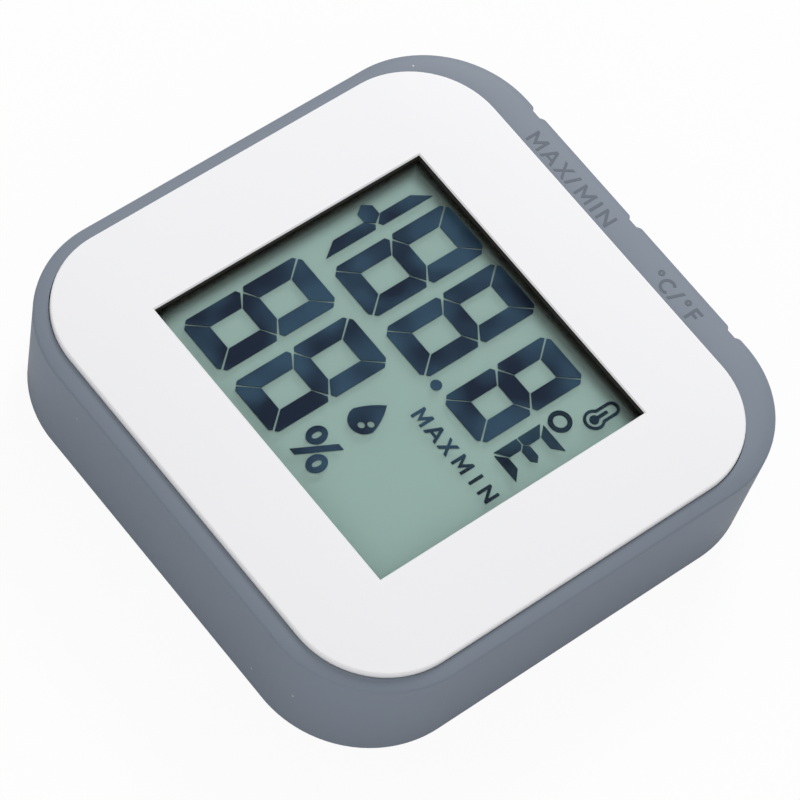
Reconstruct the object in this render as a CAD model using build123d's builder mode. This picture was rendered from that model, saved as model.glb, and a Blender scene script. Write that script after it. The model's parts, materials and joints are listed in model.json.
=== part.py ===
"""Small square temperature and humidity meter in a silicone sleeve, all sizes in millimetres.

The meter lies on its back: +Z comes out of the display, +Y points to the edge with the keys,
and the origin is under the middle of the sleeve, on the surface that the meter lies on.
"""

from build123d import *
from math import cos, radians, sin
import os

os.makedirs("parts", exist_ok=True)

overrun = 1.0

# Sleeve
sleeve_width = 60.0
sleeve_height = 60.7
sleeve_corner = 12.4
side_draft = 0.2
end_draft = 0.68
crease_z = 13.0
lip_rise = 0.4
lip_reach = 1.3
crease_round = 0.35
rim_round = 0.4
rim_thickness = 1.0
rim_cover = 2.2
sleeve_gap = 0.1

# Grooves that part the two keys on the upper edge
groove_pitch = 15.75
groove_depth = 0.6
groove_floor = 0.7
groove_shoulder = 1.3

# White front case
plate_width = 56.7
plate_height = 54.5
plate_corner = 10.0
plate_drop = 1.1
plate_z = 14.0
plate_thickness = 1.6
plate_edge_round = 0.25
case_wall = 1.5
window_width = 36.3
window_height = 33.95
window_bevel = 0.15
window_wall = 0.8
boss_x = 23.0
boss_y = 21.4
boss_radius = 2.2
post_x = 22.9
post_y = 9.0
post_radius = 1.7

# Display glass
glass_width = 39.2
glass_top = 18.2
glass_bottom = 20.0
glass_ledge = 2.8
glass_thickness = 0.55
segment_thickness = 0.1
reflector_thickness = 0.2
gasket_thickness = 0.2
glass_gap = 0.1

# Display figures
figure_width = 6.85
figure_height = 14.95
last_figure_width = 6.4
last_figure_height = 13.75
stroke_across = 1.9
stroke_up = 2.3
segment_gap = 0.2
figure_corner = 0.45
figure_round = 0.3
upper_row_y = 1.5
lower_row_y = -15.15
first_figure_x = -12.8
second_figure_x = -4.45
last_figure_x = 5.05
lower_first_x = -16.1
lower_second_x = -7.75
one_x = -15.45
one_width = 1.3
one_height = 13.9
one_y = 1.95
minus_x = -17.25
minus_length = 2.5
minus_height = 1.95
point_x = 3.55
point_radius = 0.6
degree_x = 13.7
degree_y = 9.95
degree_radius = 1.25
degree_hole = 0.75
unit_x = 12.8
unit_y = 1.85
unit_width = 3.8
unit_height = 6.4
unit_stroke = 1.05
bulb_x = 15.45
bulb_y = 13.0
bulb_radius = 1.15
stem_radius = 0.82
stem_length = 2.3
icon_line = 0.3
mercury_radius = 0.5
mercury_line = 0.34
mercury_length = 1.7
drop_x = 2.7
drop_y = -6.55
drop_radius = 1.6
drop_length = 3.0
glint_radius = 0.38
percent_x = 2.75
percent_y = -12.5
percent_width = 4.5
percent_height = 4.4
percent_line = 0.75
oval_width = 1.95
oval_height = 2.4
oval_hole_width = 0.65
oval_hole_height = 1.2

# Circuit board and what it carries
board_thickness = 1.0
board_front_z = 8.9
board_gap = 0.7
board_notch_gap = 0.3
holder_wall = 0.7
holder_shelf = 1.6
zebra_width = 1.8
zebra_length = 36.0
switch_width = 5.2
switch_depth = 3.5
switch_height = 3.3
switch_y = 21.4
plunger_radius = 1.1
plunger_stand_out = 0.7
plunger_clearance = 0.1
plunger_hole_clearance = 0.35
chip_radius = 4.0
chip_height = 1.0
chip_dome = 0.9
chip_x = -14.0
chip_y = -12.0
capacitor_length = 2.0
capacitor_width = 1.25
capacitor_height = 0.8
capacitor_pitch = 3.2
crystal_radius = 1.0
crystal_length = 6.0
crystal_x = -4.0
crystal_y = -17.5
sensor_width = 5.0
sensor_height = 1.1
sensor_port_radius = 1.1
sensor_port_depth = 0.4
vent_x = 19.0
vent_y = 10.0
vent_count = 5
vent_length = 7.0
vent_width = 1.1
vent_pitch = 2.2
probe_radius = 0.8
probe_lead = 0.25
probe_drop = 6.5
probe_leads_apart = 1.0

# Keys
key_margin = 1.1
key_gap = 0.2
key_low_z = 2.8
key_high_z = 11.2
key_corner = 1.5
key_travel = 0.3
key_wall = 1.4
flange_width = 0.6
flange_thickness = 0.8
flange_gap = 0.05
nub_radius = 1.4

# Back case, battery and its door
back_z = 0.2
floor_thickness = 1.4
floor_gap = 0.1
island_gap = 0.15
battery_y = 8.0
cell_radius = 10.0
cell_thickness = 3.2
door_radius = 11.0
door_gap = 0.15
ledge_thickness = 1.1
lug_reach = 0.9
lug_thickness = 0.8
lug_gap = 0.15
lug_angle = 26.0
lug_count = 3
notch_angle = 32.0
door_turn = 40.0
well_wall = 0.9
roof_thickness = 0.8
coin_slot_length = 14.0
coin_slot_width = 2.0
coin_slot_depth = 1.0
contact_thickness = 0.3
contact_width = 4.0
tab_width = 2.0
spring_radius = 4.0
dimple_radius = 1.5
dimple_height = 0.2
slot_gap = 0.1

# Stand
stand_width = 17.0
stand_length = 17.6
stand_thickness = 1.4
stand_axis_y = -7.6
stand_axis_z = 1.75
knuckle_radius = 1.35
stand_gap = 0.3
stand_pin_radius = 0.6
stand_pin_clearance = 0.05
stand_pin_grip = 1.5
pocket_roof = 1.0
stand_tip_corner = 3.0
finger_radius = 2.6
finger_y = -21.5
rib_count = 3
rib_depth = 0.3
rib_width = 0.6
rib_pitch = 1.6

# Magnets and screws
magnet_radius = 4.0
magnet_thickness = 1.5
magnet_x = 18.8
magnet_y = -13.5
magnet_gap = 0.05
magnet_ring = 0.9
screw_radius = 0.8
screw_head_radius = 1.5
screw_head_height = 1.1
screw_length = 6.0
board_screw_radius = 0.6
board_screw_head_radius = 1.25
board_screw_head_height = 0.9
board_screw_length = 3.5
drive_radius = 0.75
drive_depth = 0.5

# Levels that follow from the sizes above
floor_z = rim_thickness
floor_top_z = floor_z + floor_thickness
gasket_top_z = plate_z - window_wall
glass_top_z = gasket_top_z - gasket_thickness
segment_top_z = glass_top_z - glass_thickness
rear_glass_top_z = segment_top_z - segment_thickness
reflector_top_z = rear_glass_top_z - glass_thickness
holder_top_z = reflector_top_z - reflector_thickness
plate_back_z = plate_z - plate_thickness
board_back_z = board_front_z - board_thickness
case_width = plate_width - 2 * case_wall
case_height = plate_height - 2 * case_wall
case_corner = plate_corner - case_wall
case_top_y = plate_height / 2 - plate_drop
sleeve_top_y = sleeve_height / 2
key_wall_y = sleeve_top_y - key_wall
switch_front_y = switch_y + switch_depth / 2 - plate_drop
plunger_z = board_front_z + switch_height / 2
plunger_tip_y = case_top_y + plunger_stand_out
plunger_tail_y = switch_front_y - switch_depth / 2
flange_y = key_wall_y - flange_gap
cell_z = floor_z + ledge_thickness + lug_gap + lug_thickness
door_top_z = cell_z
channel_radius = door_radius + lug_reach + door_gap
well_top_z = cell_z + cell_thickness + dimple_height + contact_thickness
head_seat_z = floor_z + screw_head_height / 2
drafts = (0, end_draft / crease_z, 1)


def level(z):
    """The plane at height z whose middle is the middle of the white plate."""
    return Plane(origin=(0, -plate_drop, z))


def battery_level(z):
    """The plane at height z whose middle is the middle of the coin cell."""
    return Plane(origin=(0, battery_y, z))


def sector(turn, angle, radius):
    """A pie slice of a circle about the origin, its middle turned from +X, as a flat sketch."""
    with BuildSketch() as made:
        with BuildLine():
            first, last = radians(turn - angle / 2), radians(turn + angle / 2)
            Line((0, 0), (radius * cos(first), radius * sin(first)))
            CenterArc((0, 0), radius, turn - angle / 2, angle)
            Line((radius * cos(last), radius * sin(last)), (0, 0))
        make_face()
    return made.sketch


def rounded(width, height, corner, plane):
    """A rounded rectangle in the middle of a plane, as a sketch in space."""
    with BuildSketch(plane) as made:
        RectangleRounded(width, height, corner)
    return made.sketch


def sleeve_body():
    """The sleeve's outer form: drafted walls, and a lip that rises towards the plate."""
    foot = rounded(sleeve_width - 2 * side_draft, sleeve_height - 2 * end_draft, sleeve_corner, Plane.XY)
    crease = rounded(sleeve_width, sleeve_height, sleeve_corner, Plane.XY.offset(crease_z))
    lip = rounded(
        sleeve_width - 2 * lip_reach,
        sleeve_height - 2 * lip_reach,
        sleeve_corner - lip_reach,
        Plane.XY.offset(crease_z + lip_rise),
    )
    loft(sections=[foot.face(), crease.face()], ruled=True)
    loft(sections=[crease.face(), lip.face()], ruled=True)


def key_outline(side, margin, y):
    """Rounded outline of one key, grown by margin, on the upright plane at y."""
    key_z = (key_low_z + key_high_z) / 2
    middle = Plane(origin=(side * groove_pitch / 2, y, key_z), x_dir=(1, 0, 0), z_dir=(0, -1, 0))
    width = groove_pitch - 2 * key_margin + 2 * margin
    return rounded(width, key_high_z - key_low_z + 2 * margin, key_corner + margin, middle)


with BuildPart() as silicone_sleeve:
    sleeve_body()
    fillet(silicone_sleeve.edges().filter_by(lambda e: abs(e.center().Z - crease_z) < overrun / 100), crease_round)
    fillet(silicone_sleeve.faces().sort_by(Axis.Z)[0].outer_wire().edges(), rim_round)
    with BuildSketch(Plane.XY.offset(-overrun)):
        for column in (-1, 0, 1):
            with Locations((column * groove_pitch, sleeve_top_y - end_draft - groove_depth / 2 + overrun / 2)):
                Rectangle(groove_floor + 2 * groove_shoulder, groove_depth + overrun)
            for side in (-1, 1):
                shoulder_x = column * groove_pitch + side * (groove_floor / 2 + groove_shoulder)
                with Locations((shoulder_x, sleeve_top_y - end_draft - groove_shoulder)):
                    Circle(groove_shoulder, mode=Mode.SUBTRACT)
    extrude(amount=plate_z + 2 * overrun, dir=drafts, mode=Mode.SUBTRACT)
    with BuildSketch(level(rim_thickness)):
        RectangleRounded(plate_width + 2 * sleeve_gap, plate_height + 2 * sleeve_gap, plate_corner + sleeve_gap)
    extrude(amount=plate_z, mode=Mode.SUBTRACT)
    with BuildSketch(level(-overrun)):
        RectangleRounded(plate_width - 2 * rim_cover, plate_height - 2 * rim_cover, plate_corner - rim_cover)
    extrude(amount=plate_z, mode=Mode.SUBTRACT)
    for side in (-1, 1):
        extrude(key_outline(side, key_gap, sleeve_top_y + overrun), amount=2 * overrun + key_wall, mode=Mode.SUBTRACT)
        chamber = key_outline(side, flange_width + key_gap, key_wall_y)
        extrude(chamber, amount=key_wall_y - case_top_y, mode=Mode.SUBTRACT)


def make_key(side):
    """One key: a pad that follows the sleeve's wall, its flange, and the nub on the switch."""
    with BuildPart() as key:
        sleeve_body()
        pad = key_outline(side, 0, sleeve_top_y + overrun)
        extrude(pad, amount=overrun + key_wall + flange_gap, mode=Mode.INTERSECT)
        extrude(key_outline(side, flange_width, flange_y), amount=flange_thickness)
        with BuildSketch(Plane.XZ.offset(-flange_y)):
            with Locations((side * groove_pitch / 2, plunger_z)):
                Circle(nub_radius)
        extrude(amount=flange_y - plunger_tip_y)
    return key.part


max_min_key = make_key(-1)
unit_key = make_key(1)

with BuildPart() as front_case:
    with BuildSketch(level(rim_thickness)):
        RectangleRounded(plate_width, plate_height, plate_corner)
    extrude(amount=plate_z - rim_thickness)
    fillet(front_case.faces().sort_by(Axis.Z)[-1].outer_wire().edges(), plate_edge_round)
    with BuildSketch(level(rim_thickness)):
        RectangleRounded(case_width, case_height, case_corner)
    extrude(amount=plate_back_z - rim_thickness, mode=Mode.SUBTRACT)
    with BuildSketch(level(floor_top_z)):
        with GridLocations(2 * boss_x, 2 * boss_y, 2, 2):
            Circle(boss_radius)
    extrude(amount=plate_back_z - floor_top_z)
    with BuildSketch(level(board_front_z)):
        with GridLocations(2 * post_x, 2 * post_y, 2, 2):
            Circle(post_radius)
    extrude(amount=plate_back_z - board_front_z)
    with BuildSketch(level(floor_top_z)):
        with GridLocations(2 * boss_x, 2 * boss_y, 2, 2):
            Circle(screw_radius)
    extrude(amount=screw_length, mode=Mode.SUBTRACT)
    with BuildSketch(level(board_front_z)):
        with GridLocations(2 * post_x, 2 * post_y, 2, 2):
            Circle(board_screw_radius)
    extrude(amount=board_screw_length - board_thickness, mode=Mode.SUBTRACT)
    with BuildSketch(level(plate_back_z)):
        with Locations((0, (glass_top - glass_bottom) / 2)):
            Rectangle(glass_width + 2 * glass_gap, glass_top + glass_bottom + 2 * glass_gap)
    extrude(amount=gasket_top_z - plate_back_z, mode=Mode.SUBTRACT)
    with BuildSketch(level(gasket_top_z)):
        Rectangle(window_width, window_height)
    extrude(amount=window_wall, mode=Mode.SUBTRACT)
    window_rim = front_case.faces().sort_by(Axis.Z)[-1].inner_wires().edges()
    chamfer(window_rim, window_bevel)
    with BuildSketch(Plane.XZ.offset(-case_top_y - overrun)):
        with Locations((-groove_pitch / 2, plunger_z), (groove_pitch / 2, plunger_z)):
            Circle(plunger_radius + plunger_hole_clearance)
    extrude(amount=case_wall + 2 * overrun, mode=Mode.SUBTRACT)

with BuildPart() as display_gasket:
    with BuildSketch(level(glass_top_z)):
        with Locations((0, (glass_top - glass_bottom) / 2)):
            Rectangle(glass_width, glass_top + glass_bottom)
        Rectangle(window_width, window_height, mode=Mode.SUBTRACT)
    extrude(amount=gasket_thickness)

with BuildPart() as lcd_front_glass:
    with BuildSketch(level(segment_top_z)):
        with Locations((0, (glass_top - glass_bottom) / 2)):
            Rectangle(glass_width, glass_top + glass_bottom)
    extrude(amount=glass_thickness)

with BuildPart() as lcd_rear_glass:
    with BuildSketch(level(reflector_top_z)):
        with Locations((0, (glass_top - glass_bottom + glass_ledge) / 2)):
            Rectangle(glass_width, glass_top + glass_bottom - glass_ledge)
    extrude(amount=glass_thickness)

with BuildPart() as lcd_reflector:
    with BuildSketch(level(holder_top_z)):
        with Locations((0, (glass_top - glass_bottom + glass_ledge) / 2)):
            Rectangle(glass_width, glass_top + glass_bottom - glass_ledge)
    extrude(amount=reflector_thickness)


def outline(points):
    """A filled outline through the points, in the sketch that is open."""
    Polygon(*points, align=None)


def figure(x, y, width, height):
    """Seven segments of one figure, whose lower left corner is at x, y."""
    middle = height / 2
    half_gap = segment_gap / 2
    inner_x = stroke_across + half_gap
    bar = [
        (figure_corner, height - figure_round),
        (figure_corner + figure_round, height),
        (width - figure_corner - figure_round, height),
        (width - figure_corner, height - figure_round),
        (width - inner_x, height - stroke_up),
        (inner_x, height - stroke_up),
    ]
    post = [
        (0, height - figure_corner - figure_round),
        (figure_round, height - figure_corner),
        (stroke_across, height - stroke_up - half_gap),
        (stroke_across, middle + stroke_up / 2),
        (figure_corner, middle + segment_gap),
        (0, middle + segment_gap + figure_round),
    ]
    bridge = [
        (figure_corner + segment_gap, middle),
        (inner_x, middle + stroke_up / 2 - half_gap),
        (width - inner_x, middle + stroke_up / 2 - half_gap),
        (width - figure_corner - segment_gap, middle),
        (width - inner_x, middle - stroke_up / 2 + half_gap),
        (inner_x, middle - stroke_up / 2 + half_gap),
    ]
    for flip_y in (False, True):
        outline([(x + px, y + (height - py if flip_y else py)) for px, py in bar])
        for flip_x in (False, True):
            outline(
                [
                    (x + (width - px if flip_x else px), y + (height - py if flip_y else py))
                    for px, py in post
                ]
            )
    outline([(x + px, y + py) for px, py in bridge])


def minus_one():
    """The leading one with its slanted ends, and the minus sign beside it."""
    middle = one_y + one_height / 2
    right = one_x + one_width
    for way in (-1, 1):
        outline(
            [
                (right, middle + way * one_height / 2),
                (one_x, middle + way * (one_height / 2 - stroke_across)),
                (one_x, middle + way * (minus_height / 2 + segment_gap / 2)),
                (one_x + one_width * 2 / 3, middle + way * segment_gap),
                (right, middle + way * (segment_gap + figure_round)),
            ]
        )
    outline(
        [
            (minus_x, middle),
            (minus_x + minus_height / 3, middle + minus_height / 2),
            (minus_x + minus_length - minus_height / 3, middle + minus_height / 2),
            (minus_x + minus_length, middle),
            (minus_x + minus_length - minus_height / 3, middle - minus_height / 2),
            (minus_x + minus_height / 3, middle - minus_height / 2),
        ]
    )


def unit_letter():
    """Five strokes that make C, E or F after the degree ring."""
    middle = unit_y + unit_height / 2
    half_gap = segment_gap / 2
    half_stroke = unit_stroke / 2
    left = unit_x + unit_stroke + segment_gap
    for way in (-1, 1):
        end = middle + way * unit_height / 2
        outline(
            [
                (unit_x + figure_round, end),
                (unit_x + unit_width, end),
                (unit_x + unit_width - unit_stroke, end - way * unit_stroke),
                (left, end - way * unit_stroke),
            ]
        )
        outline(
            [
                (unit_x, end - way * segment_gap),
                (unit_x + unit_stroke + segment_gap, end - way * (unit_stroke + segment_gap)),
                (unit_x + unit_stroke + segment_gap, middle + way * half_stroke),
                (unit_x + unit_stroke - segment_gap, middle + way * half_gap),
                (unit_x, middle + way * half_gap),
            ]
        )
    outline(
        [
            (unit_x + unit_stroke - half_gap, middle),
            (left + segment_gap, middle + half_stroke),
            (unit_x + unit_width - unit_stroke, middle + half_stroke),
            (unit_x + unit_width - half_stroke, middle),
            (unit_x + unit_width - unit_stroke, middle - half_stroke),
            (left + segment_gap, middle - half_stroke),
        ]
    )


with BuildPart() as lcd_segments:
    with BuildSketch(level(rear_glass_top_z)):
        figure(first_figure_x, upper_row_y, figure_width, figure_height)
        figure(second_figure_x, upper_row_y, figure_width, figure_height)
        figure(last_figure_x, upper_row_y, last_figure_width, last_figure_height)
        figure(lower_first_x, lower_row_y, figure_width, figure_height)
        figure(lower_second_x, lower_row_y, figure_width, figure_height)
        minus_one()
        unit_letter()
        with Locations((point_x, upper_row_y + point_radius)):
            Circle(point_radius)
        with Locations((degree_x, degree_y)):
            Circle(degree_radius)
            Circle(degree_hole, mode=Mode.SUBTRACT)
    extrude(amount=segment_thickness)
    with BuildSketch(level(rear_glass_top_z)):
        with Locations((bulb_x, bulb_y)):
            Circle(bulb_radius)
        with Locations((bulb_x, bulb_y + stem_length / 2)):
            Rectangle(2 * stem_radius, stem_length)
        with Locations((bulb_x, bulb_y + stem_length)):
            Circle(stem_radius)
        with Locations((bulb_x, bulb_y)):
            Circle(bulb_radius - icon_line, mode=Mode.SUBTRACT)
        with Locations((bulb_x, bulb_y + stem_length / 2)):
            Rectangle(2 * (stem_radius - icon_line), stem_length, mode=Mode.SUBTRACT)
        with Locations((bulb_x, bulb_y + stem_length)):
            Circle(stem_radius - icon_line, mode=Mode.SUBTRACT)
        with Locations((bulb_x, bulb_y)):
            Circle(mercury_radius)
        with Locations((bulb_x, bulb_y + mercury_length / 2)):
            Rectangle(mercury_line, mercury_length)
    extrude(amount=segment_thickness)
    with BuildSketch(level(rear_glass_top_z)):
        with BuildLine():
            tip = (drop_x, drop_y + drop_length)
            left_side = TangentArc((drop_x - drop_radius, drop_y), (drop_x, drop_y - drop_radius), tangent=(0, -1))
            right_side = TangentArc((drop_x, drop_y - drop_radius), (drop_x + drop_radius, drop_y), tangent=(1, 0))
            ThreePointArc(
                (drop_x + drop_radius, drop_y), (drop_x + drop_radius * 0.62, drop_y + drop_length * 0.5), tip
            )
            ThreePointArc(
                tip, (drop_x - drop_radius * 0.62, drop_y + drop_length * 0.5), (drop_x - drop_radius, drop_y)
            )
        make_face()
        with Locations((drop_x + drop_radius / 5, drop_y - drop_radius / 3)):
            Circle(glint_radius, mode=Mode.SUBTRACT)
        with Locations((drop_x + drop_radius / 2, drop_y + drop_radius / 5)):
            Circle(glint_radius, mode=Mode.SUBTRACT)
    extrude(amount=segment_thickness)
    with BuildSketch(level(rear_glass_top_z)):
        outline(
            [
                (percent_x - percent_width / 3, percent_y - percent_height / 2),
                (percent_x - percent_width / 3 + percent_line, percent_y - percent_height / 2),
                (percent_x + percent_width / 3, percent_y + percent_height / 2),
                (percent_x + percent_width / 3 - percent_line, percent_y + percent_height / 2),
            ]
        )
    extrude(amount=segment_thickness)
    with BuildSketch(level(rear_glass_top_z)):
        for side in (-1, 1):
            with Locations(
                (
                    percent_x + side * (percent_width - oval_width) / 2,
                    percent_y - side * (percent_height - oval_height) / 2,
                )
            ):
                Ellipse(oval_width / 2, oval_height / 2)
                Ellipse(oval_hole_width / 2, oval_hole_height / 2, mode=Mode.SUBTRACT)
    extrude(amount=segment_thickness)

ledge_y = -glass_bottom + glass_ledge / 2

with BuildPart() as lcd_holder:
    with BuildSketch(level(board_front_z)):
        with Locations((0, (glass_top - glass_bottom) / 2)):
            Rectangle(
                glass_width + 2 * (glass_gap + holder_wall), glass_top + glass_bottom + 2 * (glass_gap + holder_wall)
            )
    extrude(amount=plate_back_z - board_front_z)
    with BuildSketch(level(holder_top_z)):
        with Locations((0, (glass_top - glass_bottom) / 2)):
            Rectangle(glass_width + 2 * glass_gap, glass_top + glass_bottom + 2 * glass_gap)
    extrude(amount=plate_z, mode=Mode.SUBTRACT)
    with BuildSketch(level(board_front_z)):
        with Locations((0, (glass_top - glass_bottom + glass_ledge) / 2)):
            Rectangle(glass_width - 2 * holder_shelf, glass_top + glass_bottom - glass_ledge - 2 * holder_shelf)
            Rectangle(holder_shelf, glass_top + glass_bottom, mode=Mode.SUBTRACT)
        with Locations((0, ledge_y)):
            Rectangle(zebra_length, zebra_width)
    extrude(amount=holder_top_z - board_front_z, mode=Mode.SUBTRACT)

with BuildPart() as zebra_strip:
    with BuildSketch(level(board_front_z)):
        with Locations((0, ledge_y)):
            Rectangle(zebra_length, zebra_width)
    extrude(amount=segment_top_z - board_front_z)

with BuildPart() as circuit_board:
    with BuildSketch(level(board_back_z)):
        RectangleRounded(case_width - 2 * board_gap, case_height - 2 * board_gap, case_corner - board_gap)
        with GridLocations(2 * boss_x, 2 * boss_y, 2, 2):
            Circle(boss_radius + board_notch_gap, mode=Mode.SUBTRACT)
        with GridLocations(2 * post_x, 2 * post_y, 2, 2):
            Circle(board_screw_radius, mode=Mode.SUBTRACT)
    extrude(amount=board_thickness)


def make_switch(side):
    """The body of a side-pressed switch, with the bore that its plunger slides in."""
    with BuildPart() as switch:
        with BuildSketch(level(board_front_z)):
            with Locations((side * groove_pitch / 2, switch_y)):
                Rectangle(switch_width, switch_depth)
        extrude(amount=switch_height)
        with BuildSketch(Plane.XZ.offset(-switch_front_y)):
            with Locations((side * groove_pitch / 2, plunger_z)):
                Circle(plunger_radius + plunger_clearance)
        extrude(amount=switch_depth / 2 + 2 * key_travel, mode=Mode.SUBTRACT)
    return switch.part


def make_plunger(side):
    """The plunger of a switch, whose tip the key's nub rests on."""
    with BuildPart() as plunger:
        with BuildSketch(Plane.XZ.offset(-plunger_tip_y)):
            with Locations((side * groove_pitch / 2, plunger_z)):
                Circle(plunger_radius)
        extrude(amount=plunger_tip_y - plunger_tail_y)
    return plunger.part


max_min_switch = make_switch(-1)
unit_switch = make_switch(1)
max_min_plunger = make_plunger(-1)
unit_plunger = make_plunger(1)

with BuildPart() as controller_chip:
    with BuildSketch(Plane.XY.offset(board_back_z - chip_height)):
        with Locations((chip_x, chip_y)):
            Circle(chip_radius)
    extrude(amount=chip_height)
    fillet(controller_chip.edges().group_by(Axis.Z)[0], chip_dome)

with BuildPart() as board_capacitors:
    with BuildSketch(Plane.XY.offset(board_back_z - capacitor_height)):
        with Locations((-chip_x, chip_y)):
            with GridLocations(capacitor_pitch, capacitor_pitch, 2, 3):
                Rectangle(capacitor_length, capacitor_width)
    extrude(amount=capacitor_height)

with BuildPart() as crystal:
    with BuildSketch(Plane(origin=(crystal_x, crystal_y, board_back_z - crystal_radius), z_dir=(1, 0, 0))):
        Circle(crystal_radius)
    extrude(amount=crystal_length)

with BuildPart() as humidity_sensor:
    with BuildSketch(Plane.XY.offset(board_back_z - sensor_height)):
        with Locations((vent_x, vent_y)):
            RectangleRounded(sensor_width, sensor_width, sensor_height / 2)
    extrude(amount=sensor_height)
    with BuildSketch(Plane.XY.offset(board_back_z - sensor_height)):
        with Locations((vent_x, vent_y)):
            Circle(sensor_port_radius)
    extrude(amount=sensor_port_depth, mode=Mode.SUBTRACT)

with BuildPart() as temperature_probe:
    with BuildSketch(Plane.XY.offset(floor_top_z + probe_radius)):
        with Locations((vent_x, vent_y - probe_drop)):
            with GridLocations(probe_leads_apart, probe_leads_apart, 2, 1):
                Circle(probe_lead)
    extrude(amount=board_back_z - floor_top_z - probe_radius)
    with Locations((vent_x, vent_y - probe_drop, floor_top_z + probe_radius)):
        Sphere(probe_radius)

stand_top_z = back_z + stand_thickness
pocket_z = stand_axis_z + knuckle_radius + stand_gap
pocket_end_y = stand_axis_y - stand_length - stand_gap
pocket_start_y = stand_axis_y + knuckle_radius + stand_gap
pocket_middle_y = (pocket_start_y + pocket_end_y) / 2
finger_x = stand_width / 2 + stand_gap

with BuildPart() as back_case:
    with BuildSketch(level(floor_z)):
        RectangleRounded(case_width - 2 * floor_gap, case_height - 2 * floor_gap, case_corner - floor_gap)
    extrude(amount=floor_thickness)
    with BuildSketch(level(back_z)):
        RectangleRounded(
            plate_width - 2 * (rim_cover + island_gap),
            plate_height - 2 * (rim_cover + island_gap),
            plate_corner - rim_cover - island_gap,
        )
    extrude(amount=floor_z - back_z)
    with BuildSketch(Plane.XY.offset(floor_top_z)):
        with Locations((0, battery_y)):
            Circle(channel_radius + well_wall)
    extrude(amount=well_top_z + roof_thickness - floor_top_z)
    with BuildSketch(Plane.XY.offset(floor_top_z)):
        with Locations((0, pocket_middle_y)):
            Rectangle(
                stand_width + 2 * (stand_gap + stand_pin_grip),
                pocket_start_y - pocket_end_y + 2 * pocket_roof,
            )
    extrude(amount=pocket_z + pocket_roof - floor_top_z)
    with BuildSketch(Plane.XY.offset(floor_top_z)):
        with Locations((-magnet_x, magnet_y), (magnet_x, magnet_y)):
            Circle(magnet_radius + magnet_gap + magnet_ring)
            Circle(magnet_radius + magnet_gap, mode=Mode.SUBTRACT)
    extrude(amount=magnet_thickness)
    with BuildSketch(Plane.XY.offset(back_z)):
        with Locations((0, battery_y)):
            Circle(door_radius + door_gap)
    extrude(amount=well_top_z - back_z, mode=Mode.SUBTRACT)
    with BuildSketch(Plane.XY.offset(floor_z + ledge_thickness)):
        with Locations((0, battery_y)):
            Circle(channel_radius)
    extrude(amount=well_top_z - floor_z - ledge_thickness, mode=Mode.SUBTRACT)
    with BuildSketch(battery_level(back_z)):
        for number in range(lug_count):
            add(sector(number * 360 / lug_count + door_turn, notch_angle, channel_radius))
    extrude(amount=floor_top_z - back_z, mode=Mode.SUBTRACT)
    with BuildSketch(Plane.XY.offset(back_z)):
        with Locations((0, pocket_middle_y)):
            Rectangle(stand_width + 2 * stand_gap, pocket_start_y - pocket_end_y)
        with Locations((-finger_x, finger_y), (finger_x, finger_y)):
            Circle(finger_radius)
    extrude(amount=stand_top_z + stand_gap - back_z, mode=Mode.SUBTRACT)
    with BuildSketch(Plane.XY.offset(back_z)):
        with Locations((0, stand_axis_y)):
            Rectangle(stand_width + 2 * stand_gap, 2 * (knuckle_radius + stand_gap))
    extrude(amount=pocket_z - back_z, mode=Mode.SUBTRACT)
    with BuildSketch(Plane(origin=(0, stand_axis_y, stand_axis_z), z_dir=(1, 0, 0))):
        Circle(stand_pin_radius)
    extrude(amount=stand_width / 2 + stand_gap + stand_pin_grip, both=True, mode=Mode.SUBTRACT)
    with BuildSketch(Plane.XY.offset(back_z)):
        with Locations((vent_x, vent_y)):
            with GridLocations(vent_pitch, vent_pitch, 1, vent_count):
                SlotOverall(vent_length, vent_width)
    extrude(amount=floor_top_z - back_z, mode=Mode.SUBTRACT)
    with BuildSketch(level(back_z)):
        with GridLocations(2 * boss_x, 2 * boss_y, 2, 2):
            Circle(screw_head_radius)
    extrude(amount=head_seat_z - back_z, mode=Mode.SUBTRACT)
    with BuildSketch(level(back_z)):
        with GridLocations(2 * boss_x, 2 * boss_y, 2, 2):
            Circle(screw_radius)
    extrude(amount=floor_top_z - back_z, mode=Mode.SUBTRACT)
    with BuildSketch(Plane.XY.offset(well_top_z)):
        with Locations((cell_radius + contact_thickness / 2, battery_y)):
            Rectangle(contact_thickness + 2 * slot_gap, tab_width + 2 * slot_gap)
        with Locations((0, battery_y - spring_radius + contact_thickness / 2)):
            Rectangle(tab_width + 2 * slot_gap, contact_thickness + 2 * slot_gap)
    extrude(amount=roof_thickness, mode=Mode.SUBTRACT)

with BuildPart() as coin_cell:
    with BuildSketch(Plane.XY.offset(cell_z)):
        with Locations((0, battery_y)):
            Circle(cell_radius)
    extrude(amount=cell_thickness)
    chamfer(coin_cell.edges().group_by(Axis.Z)[-1], contact_thickness)

with BuildPart() as negative_contact:
    with BuildSketch(Plane.XY.offset(well_top_z - contact_thickness)):
        with Locations((0, battery_y)):
            Circle(spring_radius)
    extrude(amount=contact_thickness)
    with BuildSketch(Plane.XY.offset(cell_z + cell_thickness)):
        with Locations((0, battery_y)):
            Circle(dimple_radius)
    extrude(amount=well_top_z - contact_thickness - cell_z - cell_thickness)
    with BuildSketch(Plane.XY.offset(well_top_z)):
        with Locations((0, battery_y - spring_radius + contact_thickness / 2 + slot_gap)):
            Rectangle(tab_width, contact_thickness)
    extrude(amount=board_back_z - well_top_z)

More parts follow.
